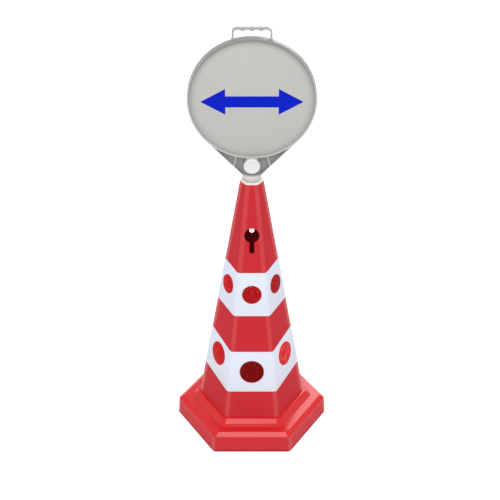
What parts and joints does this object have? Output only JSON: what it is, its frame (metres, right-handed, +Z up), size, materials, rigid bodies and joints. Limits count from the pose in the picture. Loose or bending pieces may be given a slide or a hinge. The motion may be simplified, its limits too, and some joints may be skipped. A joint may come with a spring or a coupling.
{
  "type": "cone sign",
  "caption": "Hexagonal hollow traffic cone with reflective bands and keyholes, carrying a round two-sided sign panel with a carry handle that lifts off and turns.",
  "frame": {"origin": "middle of the footprint, on the floor", "axes": "+Z up along the cone axis, -Y towards the front face of the sign, +X to the right seen from the front"},
  "size_m": [0.419, 0.3668, 1.168],
  "materials": {
    "cone_red": "satin moulded",
    "base_red": "satin moulded",
    "ballast_rubber": "rough recycled",
    "band_white": "retroreflective sheet",
    "reflector_red": "prismatic",
    "plug_grey": "satin moulded",
    "stem_grey": "satin moulded",
    "panel_grey": "satin moulded",
    "handle_grey": "satin moulded",
    "face_grey": "matt sheet",
    "cap_white": "satin moulded",
    "steel": "zinc plated"
  },
  "bodies": {
    "cone": {"body_front": "cone_red", "body_rear": "cone_red", "body_left": "cone_red", "body_right": "cone_red", "cone_base": "base_red", "ballast_ring": "ballast_rubber", "ballast_screws": "steel", "upper_band_front": "band_white", "upper_band_rear": "band_white", "lower_band_front": "band_white", "lower_band_rear": "band_white", "upper_reflector_1": "reflector_red", "upper_reflector_2": "reflector_red", "upper_reflector_3": "reflector_red", "upper_reflector_4": "reflector_red", "upper_reflector_5": "reflector_red", "upper_reflector_6": "reflector_red", "lower_reflector_1": "reflector_red", "lower_reflector_2": "reflector_red", "lower_reflector_3": "reflector_red", "lower_reflector_4": "reflector_red", "lower_reflector_5": "reflector_red", "lower_reflector_6": "reflector_red"},
    "plug": {"mouth_plug": "plug_grey"},
    "sign": {"sign_stem": "stem_grey", "keeper_washer": "steel", "keeper_screw": "steel", "sign_panel": "panel_grey", "carry_handle": "handle_grey", "front_sheet": "face_grey", "rear_sheet": "face_grey", "clamp_bolt": "steel", "clamp_washers": "steel", "clamp_nut": "steel", "front_cap": "cap_white", "rear_cap": "cap_white"}
  },
  "joints": [
    {"name": "sign_lift", "type": "slide", "parent": "cone", "child": "plug", "axis": [0, 0, 1], "range_m": [0, 0.12]},
    {"name": "sign_swivel", "type": "hinge", "parent": "plug", "child": "sign", "pos_m": [0, 0, 0.75], "axis": [0, 0, 1], "continuous": true}
  ]
}
